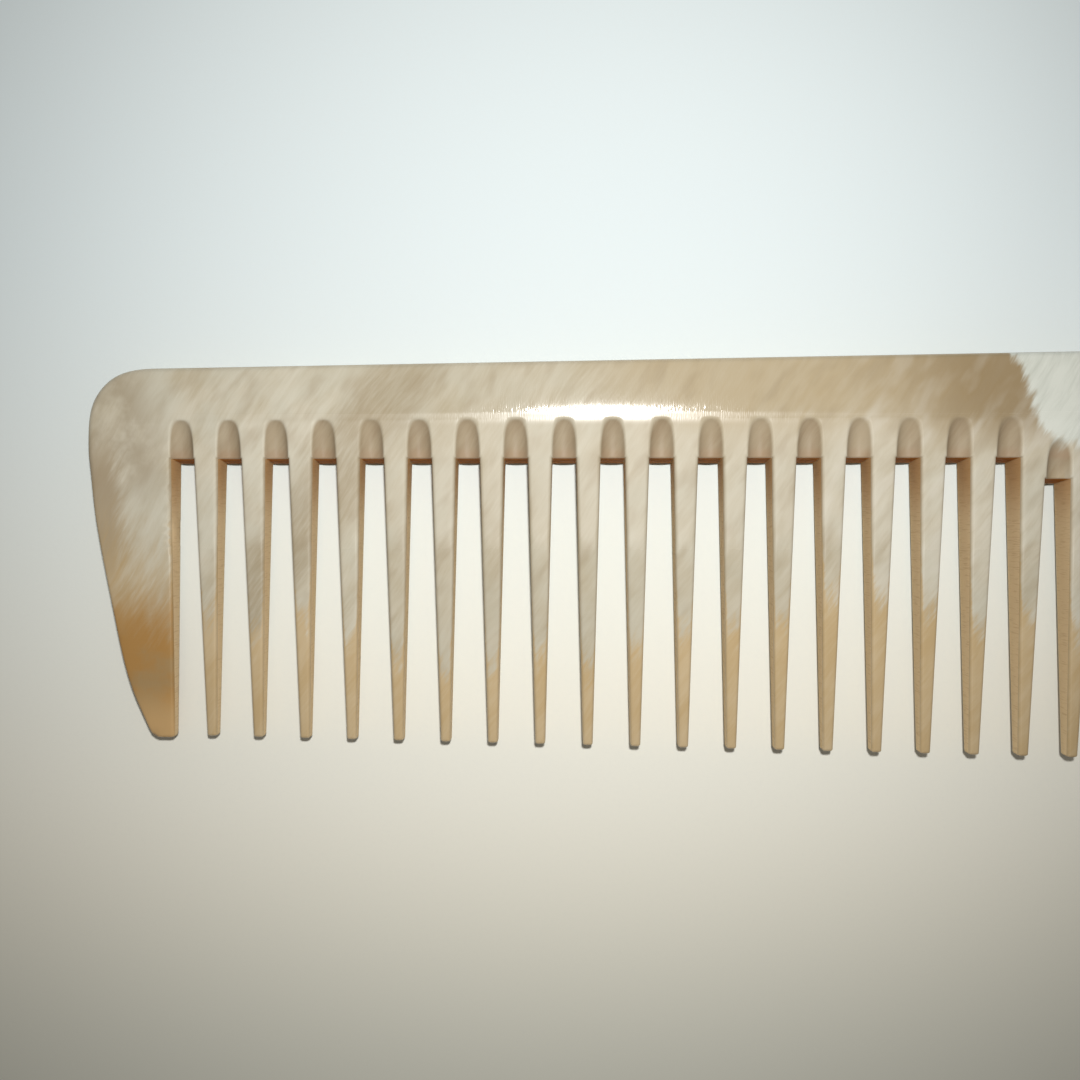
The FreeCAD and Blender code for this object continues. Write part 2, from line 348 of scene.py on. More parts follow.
def quarter_round(e, radius):
    """How far a rounded edge falls at a distance e from the wall."""
    inner = np.clip(radius - e, 0, radius)
    return radius - np.sqrt(np.maximum(radius * radius - inner * inner, 0))


def outer_radius(x, y):
    """Rounding of the outer edge: EDGE low on the guards, and OUTER_EDGE from their roots up."""
    level = y - np.where(x < HALFWAY_X, 0.0, HEEL_ROOT)
    return EDGE + (OUTER_EDGE - EDGE) * smoothstep((level + EDGE_CHANGE) / EDGE_CHANGE)


def relief(x, y):
    """Depth of the ground arches over the gap roots, fading into the flanks below them."""
    best = np.zeros(len(x))
    for gap in range(TEETH + 1):
        u = np.abs(x - gap_x(gap))
        t = y - root_y(gap)
        near = (u < NEAR_SIDE) & (t < RELIEF_TOP + NEAR_TOP) & (t > -NEAR_BOTTOM)
        if not near.any():
            continue
        un, tn, yn = u[near], t[near], y[near]
        right = x[near] > gap_x(gap)
        side = np.where(right, flank_x(gap + 1, yn, -1), flank_x(gap, yn, 1))
        half_gap = np.abs(side - gap_x(gap))
        reach = np.where(tn < 0, HALF_GAP + np.maximum(un - half_gap, 0), un)
        depth = RELIEF_DEPTH * np.maximum(1 - (np.maximum(tn, 0) / RELIEF_TOP) ** 2, 0) ** RELIEF_SHAPE
        depth = depth - TOP_RISE * np.maximum(tn - RELIEF_TOP, 0)
        inside = np.sqrt(np.maximum(FILE_RADIUS**2 - np.minimum(reach, FILE_RADIUS)**2, 0))
        cut = depth - (FILE_RADIUS - inside) - SIDE_RISE * np.maximum(reach - FILE_RADIUS, 0)
        cut = soft_positive(cut, RELIEF_SOFT) * (1 - smoothstep(-tn / RELIEF_FADE))
        cut = np.where(cut < RELIEF_SINK, 0, cut - RELIEF_SINK)
        best[near] = np.maximum(best[near], cut)
    return best


def surfaces(points, edges):
    """At every point: upper and lower z, slant of the wall below it, and distance to the outer edge."""
    x, y = points[:, 0], points[:, 1]
    reach = {kind: distance(points, a, b) for kind, (a, b) in edges.items()}
    front = soft_positive(SHOULDER_Y - y, SHOULDER_SOFT)
    half = (FLAT_HALF - TAPER * front) * growth(x)
    drop = quarter_round(reach["outer"], outer_radius(x, y))
    drop = np.maximum(drop, quarter_round(reach["flank"], EDGE))
    drop = np.maximum(drop, relief(x, y))
    off_gap = np.abs(x % PITCH - PITCH / 2)
    over_gap = smoothstep((ROOT_EDGE_REACH - off_gap) / ROOT_EDGE_FADE)
    drop = drop + quarter_round(reach["root"], ROOT_EDGE) * over_gap
    crown = CROWN * soft_positive(y - SHOULDER_Y, SHOULDER_SOFT)
    crown = crown + CREST * (1 - np.exp(-front / CREST_LENGTH))
    crown = crown * (1 - smoothstep((x - FLAT_HANDLE_X) / FLAT_HANDLE_FADE))
    upper = middle_z(x) + half - drop - crown
    lower = np.maximum(middle_z(x) - half + drop, 0)
    slant = ROOT_SLANT * (1 - smoothstep(reach["root"] / SLANT_REACH))
    return upper, lower, slant, reach["outer"]


def node_of(x, y):
    """Name of the CAD node that a place in the plan belongs to."""
    if x > HANDLE_X and y > HEEL_ROOT:
        return "handle"
    if x > HEEL_LEFT and y < HEEL_ROOT:
        return "heel_guard"
    if x < GUARD_RIGHT and y < 0:
        return "end_guard"
    number = int(round(x / PITCH)) + 1
    if y < 0 and 1 <= number <= TEETH and y < root_y(number):
        return f"tooth_{number:02d}"
    return "back_bar"


# ---------------------------------------------------------------- mesh

def contour():
    """The contour as one ring of points, the kind of edge after each point, and the edges of each kind."""
    ring = []
    kinds = []
    for kind, points in outline():
        ring += list(points[:-1])
        kinds += [kind] * (len(points) - 1)
    ring = np.array(ring)
    kinds = np.array(kinds)
    following = np.roll(ring, -1, axis=0)
    edges = {kind: (ring[kinds == kind], following[kinds == kind]) for kind in ("outer", "flank", "root")}
    return ring, kinds, edges


def rim_points(ring, kinds):
    """Rows of points that follow the contour across its rounded edge, and how far in each point lies."""
    along = np.roll(ring, -1, axis=0) - ring
    along /= np.linalg.norm(along, axis=1)[:, None]
    before = np.roll(along, 1, axis=0)
    inward = np.stack([-along[:, 1], along[:, 0]], 1)
    inward_before = np.roll(inward, 1, axis=0)
    turning = before[:, 0] * along[:, 1] - before[:, 1] * along[:, 0]
    made = []
    depths = []
    for i, (x, y) in enumerate(ring):
        radius = {"outer": float(outer_radius(x, y)), "flank": EDGE, "root": ROOT_EDGE}[kinds[i]]
        steps = list(radius * RIM_SHARES)
        if kinds[i] == "root":
            steps += ROOT_ROWS
        fan = [inward[i] + inward_before[i]]
        if turning[i] < SHARP_TURN:
            fan = [inward_before[i] * (1 - s) + inward[i] * s for s in FAN]
        for n in fan:
            n = n / np.linalg.norm(n)
            made += [ring[i] + n * s for s in steps]
            depths += steps
    return made, depths


def grid(across, up):
    return [(x, y) for x in np.arange(*across) for y in np.arange(*up)]


def face_points():
    """Points over the faces: rows over the arches, the back and the teeth, and grids on the guards."""
    made = []
    for gap in range(TEETH + 1):
        for t in ARCH_ROWS:
            made += [(gap_x(gap) + u, root_y(gap) + t) for u in ACROSS]
    for y in BACK_ROWS:
        made += [(x, y) for x in np.arange(*BACK_COLUMNS)]
    made += grid(*GUARD_GRID) + grid(*HEEL_GRID)
    for number in range(1, TEETH + 1):
        for y in flank_rows(root_y(number), tip_y(number) + NOSE_LENGTH) + [tip_y(number) + LAST_ROW]:
            half = float(width(number, y)) / 2
            aside = FACE_ROW * (half - EDGE)
            row = [0.0] if half < SLIM_TOOTH else [-aside, 0.0, aside]
            made += [(tooth_x(number) + u, y) for u in row]
        rows = np.arange(root_y(number) + MIDLINE_START, MIDLINE_END, MIDLINE_STEP)
        made += [(tooth_x(number), y) for y in rows]
    return made


def inner_points(ring, kinds, edges, seams):
    """The rim and face points that lie inside the contour and clear of the edges and seams."""
    rim, depths = rim_points(ring, kinds)
    face = face_points()
    points = np.array(rim + face)
    on_face = np.arange(len(points)) >= len(rim)
    least = np.where(on_face, FACE_CLEAR, np.array(depths + [0.0] * len(face)) * RIM_CLEAR)
    off_seam = np.minimum.reduce([distance(points, np.array([a]), np.array([b])) for a, b in seams])
    keep = inside_ring(points, ring)
    keep &= distance(points, ring, np.roll(ring, -1, axis=0)) >= least - SAME_PLACE
    keep &= (off_seam > SEAM_CLEAR) | (off_seam < SAME_PLACE)
    clear = distance(points, *edges["outer"]) > outer_radius(points[:, 0], points[:, 1]) + OUTER_CLEAR
    clear &= distance(points, *edges["flank"]) > EDGE + FLANK_CLEAR
    return points[keep & (~on_face | clear)]


def seam_lines():
    """Straight lines along which the CAD nodes meet."""
    corner = (HANDLE_X, HEEL_ROOT)
    lines = [((LEFT_X, 0.0), (GUARD_X, 0.0))]
    for number in range(1, TEETH + 1):
        y = root_y(number)
        lines.append(((float(flank_x(number, y, -1)), y), (float(flank_x(number, y, 1)), y)))
    lines += [((HEEL_X, HEEL_ROOT), corner), (corner, HEEL_OUTER[-1]), (corner, HANDLE_BACK)]
    return [(np.array(a), np.array(b)) for a, b in lines]


def seam_points(a, b):
    """Points along a seam, close together at its ends, where the edges are rounded."""
    length = np.linalg.norm(b - a)
    marks = set()
    for s in np.concatenate([OUTER_EDGE * RIM_SHARES, EDGE * RIM_SHARES]):
        marks.update((round(s, 4), round(length - s, 4)))
    between = [length / 2]
    if length > SHORT_SEAM:
        between = np.linspace(SEAM_END, length - SEAM_END, max(2, int(length / SEAM_STEP)))
    marks.update(np.round(between, 4))
    made = []
    last = -1.0
    for s in sorted(m for m in marks if SEAM_MARGIN < m < length - SEAM_MARGIN):
        if s - last > SEAM_LEAST:
            made.append(a + (b - a) * s / length)
            last = s
    return made


def links_along(points, a, b):
    """Pairs of neighbouring points that lie on the line from a to b."""
    t = ((points - a) * (b - a)).sum(1) / np.linalg.norm(b - a)**2
    off = np.linalg.norm(points - (a + t[:, None] * (b - a)), axis=1)
    on = np.where((off < SAME_PLACE) & (t > -SAME_PLACE) & (t < 1 + SAME_PLACE))[0]
    on = on[np.argsort(t[on])]
    return list(zip(on[:-1].tolist(), on[1:].tolist()))


def inside_ring(points, ring):
    a, b = ring, np.roll(ring, -1, axis=0)
    result = np.zeros(len(points), bool)
    for i in range(0, len(points), INSIDE_BATCH):
        x = points[i:i + INSIDE_BATCH, 0][:, None]
        y = points[i:i + INSIDE_BATCH, 1][:, None]
        cross = (a[:, 1] > y) != (b[:, 1] > y)
        rise = np.where(np.abs(b[:, 1] - a[:, 1]) < 1e-12, 1e-12, b[:, 1] - a[:, 1])
        at = (b[:, 0] - a[:, 0]) * (y - a[:, 1]) / rise + a[:, 0]
        result[i:i + INSIDE_BATCH] = (cross & (x < at)).sum(1) % 2 == 1
    return result


def thin_out(points, fixed, space=LEAST_SPACE):
    """Leaves out points that lie too close to an earlier one. The first ones are all kept."""
    cells = {}
    kept = []
    for i, (x, y) in enumerate(points.tolist()):
        cx, cy = int(math.floor(x / space)), int(math.floor(y / space))
        close = False
        if i >= fixed:
            around = [(cx + dx, cy + dy) for dx in (-1, 0, 1) for dy in (-1, 0, 1)]
            near = [j for cell in around for j in cells.get(cell, ())]
            close = any((points[j][0] - x)**2 + (points[j][1] - y)**2 < space * space for j in near)
        if not close:
            cells.setdefault((cx, cy), []).append(i)
            kept.append(i)
    return points[kept]


def plan():
    """Points and triangles of the comb seen from above, and the edges of its contour."""
    ring, kinds, edges = contour()
    seams = seam_lines()
    on_seams = [p for a, b in seams for p in seam_points(a, b)]
    points = np.concatenate([ring, np.array(on_seams), inner_points(ring, kinds, edges, seams)])
    points = thin_out(points, len(ring) + len(on_seams))
    links = [(i, (i + 1) % len(ring)) for i in range(len(ring))]
    for a, b in seams:
        links += links_along(points, a, b)
    made, _, faces, *_ = delaunay_2d_cdt([tuple(p) for p in points.tolist()], links, [], 0, MERGE)
    made = np.array([(p[0], p[1]) for p in made])
    tris = np.array([f for f in faces if len(f) == 3])
    a, b, c = made[tris[:, 0]], made[tris[:, 1]], made[tris[:, 2]]
    area = (b[:, 0] - a[:, 0]) * (c[:, 1] - a[:, 1]) - (b[:, 1] - a[:, 1]) * (c[:, 0] - a[:, 0])
    tris[area < 0] = tris[area < 0][:, ::-1]
    centre = (a + b + c) / 3
    tris = tris[inside_ring(centre, ring) & (np.abs(area) > NO_AREA)]
    return made, tris, edges


def corner_normals(co, faces):
    """Smooth normals at the vertices, each face weighted by its angle there."""
    total = np.zeros_like(co)
    for f in faces:
        n = f.shape[1]
        p = co[f]
        if n == 4:
            face = np.cross(p[:, 2] - p[:, 0], p[:, 3] - p[:, 1])
        else:
            face = np.cross(p[:, 1] - p[:, 0], p[:, 2] - p[:, 0])
        face /= np.maximum(np.linalg.norm(face, axis=1), 1e-15)[:, None]
        for k in range(n):
            a = p[:, (k + 1) % n] - p[:, k]
            b = p[:, (k - 1) % n] - p[:, k]
            c = (a * b).sum(1) / np.maximum(np.linalg.norm(a, axis=1) * np.linalg.norm(b, axis=1), 1e-15)
            np.add.at(total, f[:, k], face * np.arccos(np.clip(c, -1, 1))[:, None])
    return total / np.maximum(np.linalg.norm(total, axis=1), 1e-15)[:, None]


def upright_faces(tris, names, rim, count):
    """The walls of each node, each with whether the saw left it rough, and the caps on its seams."""
    owner = {}
    for t, tri in enumerate(tris.tolist()):
        for k in range(3):
            owner[(tri[k], tri[(k + 1) % 3])] = t
    walls, caps = {}, {}
    for (a, b), t in owner.items():
        other = owner.get((b, a))
        quad = (a + count, b + count, b, a)
        if other is None:
            walls.setdefault(names[t], []).append((quad, bool(max(rim[a], rim[b]) > ON_OUTER_EDGE)))
        elif names[other] != names[t]:
            caps.setdefault(names[t], []).append(quad)
    return walls, caps


def build_piece(name, co, normals, smooth_faces, caps, kinds, materials):
    """One node's mesh. Its caps lie inside the comb and are flat, and everything else has smooth normals."""
    faces = smooth_faces + caps
    used = sorted(set(v for f in faces for v in f))
    index = {v: i for i, v in enumerate(used)}
    mesh = bpy.data.meshes.new("horn_" + name)
    mesh.from_pydata(co[used].tolist(), [], [[index[v] for v in f] for f in faces])
    mesh.shade_smooth()
    given = [tuple(normals[v]) for f in smooth_faces for v in f]
    for i, f in enumerate(caps, len(smooth_faces)):
        given += [tuple(mesh.polygons[i].normal)] * len(f)
    mesh.normals_split_custom_set(given)
    for material in materials:
        mesh.materials.append(material)
    mesh.polygons.foreach_set("material_index", kinds)
    piece = bpy.data.objects.new("horn_" + name, mesh)
    bpy.context.scene.collection.objects.link(piece)
    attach(piece, "root")
    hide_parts(name)


def build_pieces(polished, sawn):
    """The comb's mesh, cut at the seams into one piece for each CAD node."""
    flat, tris, edges = plan()
    upper, lower, slant, rim = surfaces(flat, edges)
    count = len(flat)
    below = flat - np.column_stack([np.zeros(count), slant])
    co = np.concatenate([np.column_stack([flat, upper]), np.column_stack([below, lower])])
    co = co * MM + np.array([SHIFT_X, SHIFT_Y, 0])
    names = [node_of(x, y) for x, y in flat[tris].mean(1).tolist()]
    walls, caps = upright_faces(tris, names, rim, count)
    every_wall = np.array([quad for name in sorted(walls) for quad, _ in walls[name]])
    normals = corner_normals(co, [tris, tris[:, ::-1] + count, every_wall])
    labels = np.array(names)
    for name in sorted(set(names)):
        own = tris[labels == name]
        faces = own.tolist() + (own[:, ::-1] + count).tolist()
        own_walls = walls.get(name, [])
        own_caps = caps.get(name, [])
        kinds = [0] * len(faces) + [int(rough) for _, rough in own_walls] + [1] * len(own_caps)
        faces += [quad for quad, _ in own_walls]
        build_piece(name, co, normals, faces, own_caps, kinds, (polished, sawn))


# ---------------------------------------------------------------- materials

def linear(value):
    value = value / 255
    return value / 12.92 if value <= 0.04045 else ((value + 0.055) / 1.055) ** 2.4


def colour(r, g, b):
    return (linear(r), linear(g), linear(b), 1.0)


class Field:
    """A number over the surface. Sums and products of fields become math nodes."""
    tree = None

    def __init__(self, socket):
        self.socket = socket

    @staticmethod
    def math(operation, *values):
        made = Field.tree.nodes.new("ShaderNodeMath")
        made.operation = operation
        for socket, value in zip(made.inputs, values):
            feed(socket, value)
        return Field(made.outputs[0])

    def __add__(self, other):
        return Field.math("ADD", self, other)

    def __sub__(self, other):
        return Field.math("SUBTRACT", self, other)

    def __rsub__(self, other):
        return Field.math("SUBTRACT", other, self)

    def __mul__(self, other):
        return Field.math("MULTIPLY", self, other)

    def __truediv__(self, other):
        return Field.math("DIVIDE", self, other)

    def __abs__(self):
        return Field.math("ABSOLUTE", self)

    def above(self, low, high):
        """0 below low, 1 above high, and a smooth rise between them."""
        made = Field.tree.nodes.new("ShaderNodeMapRange")
        made.interpolation_type = "SMOOTHSTEP"
        feed(made.inputs["Value"], self)
        made.inputs["From Min"].default_value = low
        made.inputs["From Max"].default_value = high
        return Field(made.outputs["Result"])

    def below(self, low, high):
        return 1.0 - self.above(low, high)


def feed(socket, value):
    """Links a field to a socket, or sets the socket to a plain value."""
    if isinstance(value, Field):
        Field.tree.links.new(value.socket, socket)
    else:
        socket.default_value = value


def largest(a, b):
    return Field.math("MAXIMUM", a, b)


def noise(x, y, z, seed, detail=2, roughness=0.5):
    """Noise between about 0 and 1 at the given coordinates."""
    joined = Field.tree.nodes.new("ShaderNodeCombineXYZ")
    for socket, value in zip(joined.inputs, (x, y, z)):
        feed(socket, value)
    made = Field.tree.nodes.new("ShaderNodeTexNoise")
    made.noise_dimensions = "4D"
    made.inputs["W"].default_value = seed
    made.inputs["Scale"].default_value = 1.0
    made.inputs["Detail"].default_value = detail
    made.inputs["Roughness"].default_value = roughness
    Field.tree.links.new(joined.outputs[0], made.inputs["Vector"])
    return Field(made.outputs["Fac"])


def mixed(a, b, share):
    """Colour a with colour b laid over it by a share from 0 to 1."""
    made = Field.tree.nodes.new("ShaderNodeMix")
    made.data_type = "RGBA"
    for socket, value in ((made.inputs[0], share), (made.inputs[6], a), (made.inputs[7], b)):
        feed(socket, value)
    return Field(made.outputs[2])


def bump(height, strength, depth, under=None):
    """Relief of a given depth in millimetres, over an earlier one if there is one."""
    made = Field.tree.nodes.new("ShaderNodeBump")
    made.inputs["Strength"].default_value = strength
    made.inputs["Distance"].default_value = depth * MM
    feed(made.inputs["Height"], height)
    if under is not None:
        feed(made.inputs["Normal"], under)
    return Field(made.outputs["Normal"])


def new_material(name):
    material = bpy.data.materials.new(name)
    material.use_nodes = True
    Field.tree = material.node_tree
    return material, material.node_tree.nodes["Principled BSDF"]


def finish_material(shader, body, rough, surface, ior, level):
    feed(shader.inputs["Base Color"], body)
    feed(shader.inputs["Roughness"], rough)
    feed(shader.inputs["Normal"], surface)
    shader.inputs["IOR"].default_value = ior
    shader.inputs["Specular IOR Level"].default_value = level


def coordinates(kind):
    """The three numbers of one output of the texture coordinates."""
    source = Field.tree.nodes.new("ShaderNodeTexCoord")
    split = Field.tree.nodes.new("ShaderNodeSeparateXYZ")
    Field.tree.links.new(source.outputs[kind], split.inputs[0])
    return [Field(socket) for socket in split.outputs]


def facing(axis):
    """1 where the surface faces along an axis, either way, and 0 where it lies along it."""
    return abs(coordinates("Normal")[axis])


def places():
    """x, y and z in the drawing frame, in millimetres."""
    x, y, z = coordinates("Object")
    return (x - SHIFT_X) / MM, (y - SHIFT_Y) / MM, z / MM


# In the patterns below, above() and below() take the two places, in millimetres, or the two values of a noise
# between which a share rises or falls. The other numbers are shares and scales of noise, per millimetre.
STREAK_ANGLE = math.radians(57)
POLISHED, SATIN, ARCH_SATIN, SAWN, PAPER_ROUGH = 0.125, 0.44, 0.40, 0.62, 0.85      # roughness
LAYER_DEPTH = 1.47           # the milky layers end this far from the middle of the plate
WHITE_X, WHITE_Y, WHITE_LOW_X = 99.2, 12.5, 106.0        # where the edge of the white patch runs

# milky layers
PALE, DULL, COOL = colour(201, 194, 176), colour(178, 167, 143), colour(194, 193, 179)
TAN, BROWN, DUSK = colour(177, 158, 124), colour(150, 134, 106), colour(138, 118, 86)
MIDDLE_TONE, CORNER_TONE, SMUDGE = colour(166, 156, 134), colour(158, 144, 120), colour(156, 138, 110)
LIGHT_BLOTCH, DARK_BLOTCH = colour(206, 201, 188), colour(152, 136, 110)
WHITE_DULL, WHITE_PALE = colour(188, 193, 184), colour(212, 216, 208)

# amber core
AMBER_DARK, AMBER_PALE = colour(184, 160, 120), colour(193, 173, 139)
HONEY_DARK, HONEY_PALE, HONEY_TIP = colour(168, 128, 74), colour(160, 134, 94), colour(190, 156, 108)

# ground and sawn horn
ARCH_DARK, ARCH_PALE, ARCH_FRONT = colour(143, 124, 98), colour(158, 142, 116), colour(152, 124, 96)
# The walls' amber is painted lighter low on the teeth, for light coming through the thin horn, and darker
# towards the roots as painted shade. The root walls face away from the lamp and get a deep brown that is
# partly the horn's core and partly painted shade.
WALL_LOW_LIT, WALL_HIGH_SHADED, WALL_ROOT_SHADE = colour(222, 197, 157), colour(192, 154, 108), colour(178, 116, 56)
SAW_MARK = colour(150, 104, 62)

# paper, with light and shade painted on it: cooler and darker behind the comb, warmer and brighter in front
# of it, and darker again further in front
PAPER_COOL_SHADE, PAPER_WARM_LIGHT = colour(213, 223, 226), colour(236, 232, 218)
PAPER_FRONT_SHADE, PAPER_FIBRE = colour(218, 219, 208), colour(214, 214, 210)


def streak_axes(x, y, z):
    """Distances along and across the streaks, which wander a little."""
    cos, sin = math.cos(STREAK_ANGLE), math.sin(STREAK_ANGLE)
    wander = noise(x * 0.05, y * 0.05, z * 0.05, seed=1.7) * 5.0
    return x * cos + y * sin, y * cos - x * sin + wander


def horn_grain():
    """Places, streaks and zones that the patterns of polished horn are made of."""
    x, y, z = places()
    grow = (x - MIDDLE_X) * GROWTH + 1.0
    along, across = streak_axes(x, y, z)
    fine = noise(across * 3.0, along * 0.35, z * 0.6, seed=3.1, detail=3, roughness=0.6)
    medium = noise(across * 1.0, along * 0.16, z * 0.25, seed=8.3, detail=3, roughness=0.6)
    broad = noise(across * 0.25, along * 0.10, z * 0.1, seed=12.9)
    return SimpleNamespace(
        x=x, y=y, z=z, across=across, along=along, fine=fine, medium=medium,
        streaks=fine * 0.25 + medium * 0.30 + broad * 0.45,
        mottle=noise(x * 0.16, y * 0.16, z * 0.2, seed=20.4, detail=4, roughness=0.6),
        blotch=noise(across * 0.55, along * 0.22, z * 0.2, seed=26.6, roughness=0.45),
        from_middle=abs(z - (grow * FLAT_HALF - GROUND)) / grow,
        wide=facing(2),
        guard=x.below(-5, -3))


def pearly_colour(g):
    """The milky layers, darker and browner towards the handle and along the back."""
    x, y = g.x, g.y
    base = mixed(DULL, PALE, g.streaks.above(0.32, 0.66))
    base = mixed(base, COOL, g.mottle.above(0.34, 0.70) * 0.45)
    tan_zone = (x + (y - 10) * 0.8 + g.mottle * 14.0).above(48, 68) * (y + g.mottle * 8.0).above(2, 12)
    base = mixed(base, TAN, tan_zone * (1.25 - g.streaks * 0.9))
    brown_band = (g.across + 11.0).below(0.5, 4.5) * (g.across + 16.0).above(-2.0, 2.0)
    base = mixed(base, BROWN, brown_band * (0.9 - g.fine * 0.7))
    dusk_zone = (x + y * 0.4 + g.mottle * 10.0).above(84, 106) * y.above(0, 6)
    base = mixed(base, DUSK, dusk_zone * 0.80)
    base = mixed(base, MIDDLE_TONE, x.above(14, 32) * x.below(72, 96) * 0.33)
    light_zone = g.blotch.above(0.44, 0.74) * x.above(60, 84)
    base = mixed(base, LIGHT_BLOTCH, light_zone * (0.45 - y.above(4, 8) * 0.25))
    base = mixed(base, DARK_BLOTCH, g.blotch.below(0.24, 0.52) * 0.38)
    corner = (x + y * 0.3).below(-9, -2) * y.above(-7, 1) * g.mottle.above(0.36, 0.60)
    base = mixed(base, CORNER_TONE, corner * 0.75)
    smudge = g.guard * y.above(-22, -14) * y.below(-2, 5)
    smudge = smudge * (x + (g.streaks - 0.5) * 10.0).below(-12.5, -9.5)
    return mixed(base, SMUDGE, smudge * 0.80)


def amber_colour(g):
    """The amber core, seen where the taper and the edges have cut through the pearly layers."""
    amber = mixed(AMBER_DARK, AMBER_PALE, g.streaks.above(0.38, 0.64))
    honey = mixed(HONEY_DARK, HONEY_PALE, g.mottle.above(0.40, 0.62) * 0.9)
    amber = mixed(amber, honey, g.guard * (g.y + g.streaks * 8.0).below(-20, -9))
    return mixed(amber, HONEY_TIP, g.guard * g.y.below(-34, -28))


def pearly_share(g):
    """How much of the milky layers shows. They end at a ragged line down the teeth and on the end guard."""
    x, y = g.x, g.y
    thick = x.above(12, 26) * x.below(50, 60) * 0.20
    thin = x.above(70, 77) * x.below(86, 98) * 0.14
    uneven = noise(x * 0.11, 2.0, 3.0, seed=33.0, detail=1)
    layer = g.guard * ((-5.0 - x) * 0.022 + 0.20) + LAYER_DEPTH - thick + thin + (uneven - 0.5) * 0.35
    ragged = noise(x * 1.1, y * 0.12, 3.0, seed=31.0)
    jag = (g.fine - 0.5) * 0.22 + (g.medium - 0.5) * 0.30 + (ragged - 0.5) * 0.22
    over = g.from_middle + jag - layer
    pearly = over.above(-0.07, 0.10)
    pearly = pearly + (over.above(-0.36, 0.28) - pearly) * g.guard
    pearly = largest(pearly, y.above(-4, 0))
    return pearly * (g.wide.above(0.30, 0.85) * 0.45 + 0.55)


def arch_masks(g):
    """Where the ground arches are, and where they are with their rims."""
    x, y = g.x, g.y
    face = FLAT_HALF - largest(SHOULDER_Y - y, 0.0) * TAPER - largest(y - SHOULDER_Y, 0.0) * CROWN
    face = face - y.below(SHOULDER_Y - 2 * CREST_LENGTH, SHOULDER_Y) * CREST
    band = y.above(-9.5, -8.5) * y.below(5.2, 5.8) * g.wide.above(0.3, 0.7)
    band = band * x.above(-6.5, -5.5) * x.below(118.5, 119.5)
    sunk = face - g.from_middle
    return sunk.above(0.05, 0.34) * band, sunk.above(0.03, 0.12) * band


def arch_colour(g):
    """The ground faces, which have cut deeper into the layers."""
    tone = mixed(ARCH_DARK, ARCH_PALE, g.streaks.above(0.36, 0.62))
    return mixed(tone, ARCH_FRONT, g.y.above(-0.6, 0.2) * g.y.below(0.4, 1.6) * 0.6)


def white_patch(g):
    """Colour and place of the white patch beside the handle."""
    x, y = g.x, g.y
    edge = x - WHITE_X + (y - WHITE_Y) * 0.40
    edge = edge + (g.medium - 0.5) * 5.0 + (g.fine - 0.5) * 1.6 + (g.mottle - 0.5) * 3.0
    low = y + (x - WHITE_LOW_X) * 0.5 + (g.medium - 0.5) * 6.0
    zone = edge.above(-0.7, 1.1) * low.above(0.4, 2.6) * x.below(146, 168) * g.wide.above(0.1, 0.5)
    return mixed(WHITE_DULL, WHITE_PALE, g.streaks.above(0.38, 0.60)), zone


def grain_bump(along, across, z):
    grain = noise(across * 5.0, along * 0.3, z * 2.0, seed=40.0, roughness=0.6)
    return bump(grain, strength=0.10, depth=0.02)


def polished_material():
    """The faces and the outer walls: polished on the back, and satin between the arches."""
    material, shader = new_material("horn")
    g = horn_grain()
    x, y, z = g.x, g.y, g.z
    arches, rims = arch_masks(g)
    body = mixed(amber_colour(g), pearly_colour(g), pearly_share(g))
    body = mixed(body, arch_colour(g), arches * (1.04 - g.blotch * 0.35) * y.above(-8, -0.4))
    white, white_zone = white_patch(g)
    body = mixed(body, white, white_zone * (0.92 - arches * 0.5))
    satin = largest(rims * ARCH_SATIN, y.below(3.9, 5.4) * y.above(-14, -7) * SATIN)
    rough = (g.fine - 0.5) * 0.06 + POLISHED + (g.mottle - 0.5) * 0.04 + satin
    rough = rough + g.wide.below(0.93, 0.998) * 0.20
    surface = grain_bump(g.along, g.across, z)
    polish = noise(x * 8.0, y * 0.9, 0.0, seed=47.0, detail=1, roughness=0.6)
    surface = bump(polish, strength=0.4, depth=0.03, under=surface)
    scratch = noise((x * 0.94 - y * 0.34) * 9.0, (x * 0.34 + y * 0.94) * 0.5, z, seed=44.0, detail=1)
    surface = bump(scratch.above(0.60, 0.72), strength=0.06, depth=0.01, under=surface)
    ribs = noise(x * 0.3, y * 5.0, 0.0, seed=52.0, detail=0)
    ribs = ribs * y.below(-22, -10) * y.above(-34, -26)
    surface = bump(ribs, strength=0.3, depth=0.04, under=surface)
    finish_material(shader, body, rough, surface, ior=1.50, level=0.50)
    return material


def sawn_material():
    """The walls of the gaps, with the marks of the saw across them. Their amber holds painted light and
    shade: lighter towards the tips, darker towards the roots and darkest on the root walls.
    """
    material, shader = new_material("horn_sawn")
    x, y, z = places()
    along, across = streak_axes(x, y, z)
    marks = noise(x * 0.3, y * 7.0, z * 0.5, seed=50.0, detail=1)
    # painted light low on the teeth, painted shade towards the roots
    body = mixed(WALL_LOW_LIT, WALL_HIGH_SHADED, y.above(-9, -1))
    # painted shade on the root walls, which face away from the lamp
    body = mixed(body, WALL_ROOT_SHADE, facing(1).above(0.6, 0.9) * y.above(-14, -12))
    body = mixed(body, SAW_MARK, marks.above(0.50, 0.72) * 0.22)
    surface = bump(marks, strength=0.5, depth=0.06, under=grain_bump(along, across, z))
    finish_material(shader, body, (marks - 0.5) * 0.3 + SAWN, surface, ior=1.25, level=0.08)
    return material


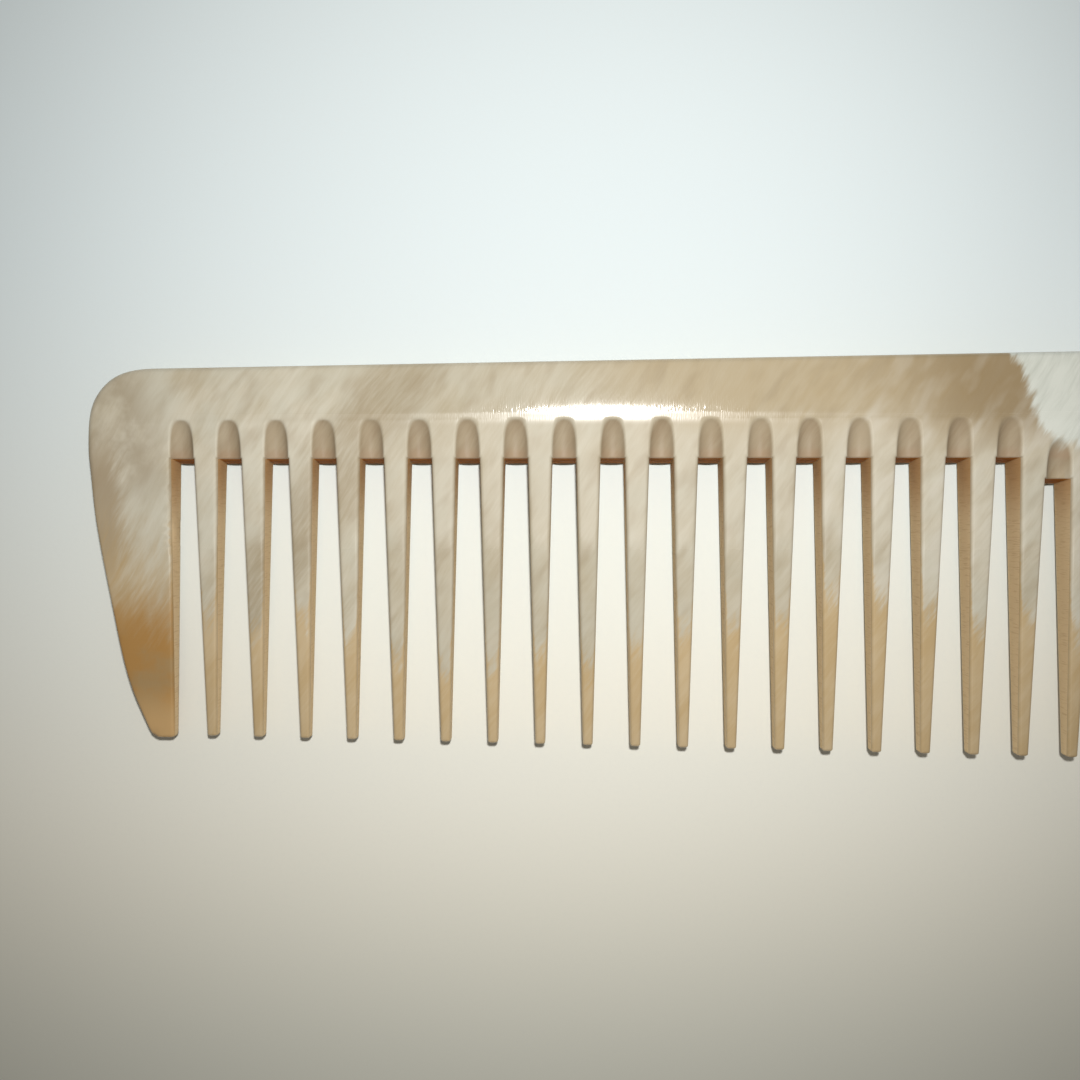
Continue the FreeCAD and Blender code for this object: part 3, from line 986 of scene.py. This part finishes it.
def floor_material():
    """White paper with painted light and shade: warmer and brighter in front of the comb, cooler and darker
    behind it, and darker again further in front.
    """
    material, shader = new_material("paper")
    x, y, _ = places()
    fibre = noise(x * 1.6, y * 1.6, 0.0, seed=60.0, detail=3, roughness=0.6)
    # painted light and shade across the paper, cool behind and warm in front
    paper = mixed(PAPER_COOL_SHADE, PAPER_WARM_LIGHT, y.below(-75, 35))
    # painted shade further in front
    paper = mixed(paper, PAPER_FRONT_SHADE, y.below(-85, -40) * 0.8)
    paper = mixed(paper, PAPER_FIBRE, fibre.above(0.45, 0.8) * 0.10)
    feed(shader.inputs["Base Color"], paper)
    feed(shader.inputs["Normal"], bump(fibre, strength=0.12, depth=0.05))
    shader.inputs["Roughness"].default_value = PAPER_ROUGH
    shader.inputs["Specular IOR Level"].default_value = 0.2
    return material


# ---------------------------------------------------------------- stage

FLOOR_HALF = 1.5                                         # metres
FLOOR_DROP = 0.00002
CAMERA_PLACE = (45.504, -6.194, 123.472)                 # drawing frame, as are the lamps' places
CAMERA_TURN = (-1.9006, 1.6841, 0.01)                    # degrees
CAMERA_LENS = 31.99
LAMP_PLACE = (52.5, 18.8, 140.0)
LAMP_TURN = (-1.0, 4.0, 0)
LAMP_COLOUR = (1.0, 0.985, 0.955)
HANDLE_LAMP_PLACE = (165, 2, 150)
WORLD_COLOUR = (1.0, 0.96, 0.89, 1.0)
WORLD_STRENGTH = 0.16


def place(x, y, z):
    """A place in the drawing frame, in metres of the shared frame."""
    return (x * MM + SHIFT_X, y * MM + SHIFT_Y, z * MM)


def in_radians(turn):
    return [math.radians(angle) for angle in turn]


def make_floor():
    mesh = bpy.data.meshes.new("floor")
    s = FLOOR_HALF
    mesh.from_pydata([(-s, -s, 0), (s, -s, 0), (s, s, 0), (-s, s, 0)], [], [(0, 1, 2, 3)])
    mesh.materials.append(floor_material())
    floor = bpy.data.objects.new("floor", mesh)
    floor.location = (0, 0, -FLOOR_DROP)
    bpy.context.scene.collection.objects.link(floor)


def make_camera():
    data = bpy.data.cameras.new("camera")
    data.lens = CAMERA_LENS
    data.sensor_width = 36.0
    data.clip_start = 0.005
    data.clip_end = 20
    camera = bpy.data.objects.new("camera", data)
    camera.location = place(*CAMERA_PLACE)
    camera.rotation_euler = in_radians(CAMERA_TURN)
    bpy.context.scene.collection.objects.link(camera)
    bpy.context.scene.camera = camera


def make_lamp(name, where, turn, energy, cone, size, tint=(1.0, 1.0, 1.0)):
    data = bpy.data.lights.new(name, "SPOT")
    data.energy = energy
    data.spot_size = math.radians(cone)
    data.spot_blend = 1.0
    data.shadow_soft_size = size
    data.color = tint
    lamp = bpy.data.objects.new(name, data)
    lamp.location = place(*where)
    lamp.rotation_euler = in_radians(turn)
    bpy.context.scene.collection.objects.link(lamp)


def make_world():
    world = bpy.data.worlds.new("studio")
    world.use_nodes = True
    background = world.node_tree.nodes["Background"]
    background.inputs["Color"].default_value = WORLD_COLOUR
    background.inputs["Strength"].default_value = WORLD_STRENGTH
    bpy.context.scene.world = world
    bpy.context.scene.view_settings.view_transform = "Standard"


make_floor()
make_camera()
make_lamp("lamp", LAMP_PLACE, LAMP_TURN, energy=0.875, cone=110, size=0.0050, tint=LAMP_COLOUR)
make_lamp("handle_lamp", HANDLE_LAMP_PLACE, (0, 0, 0), energy=0.60, cone=40, size=0.020)
make_world()
build_pieces(polished_material(), sawn_material())
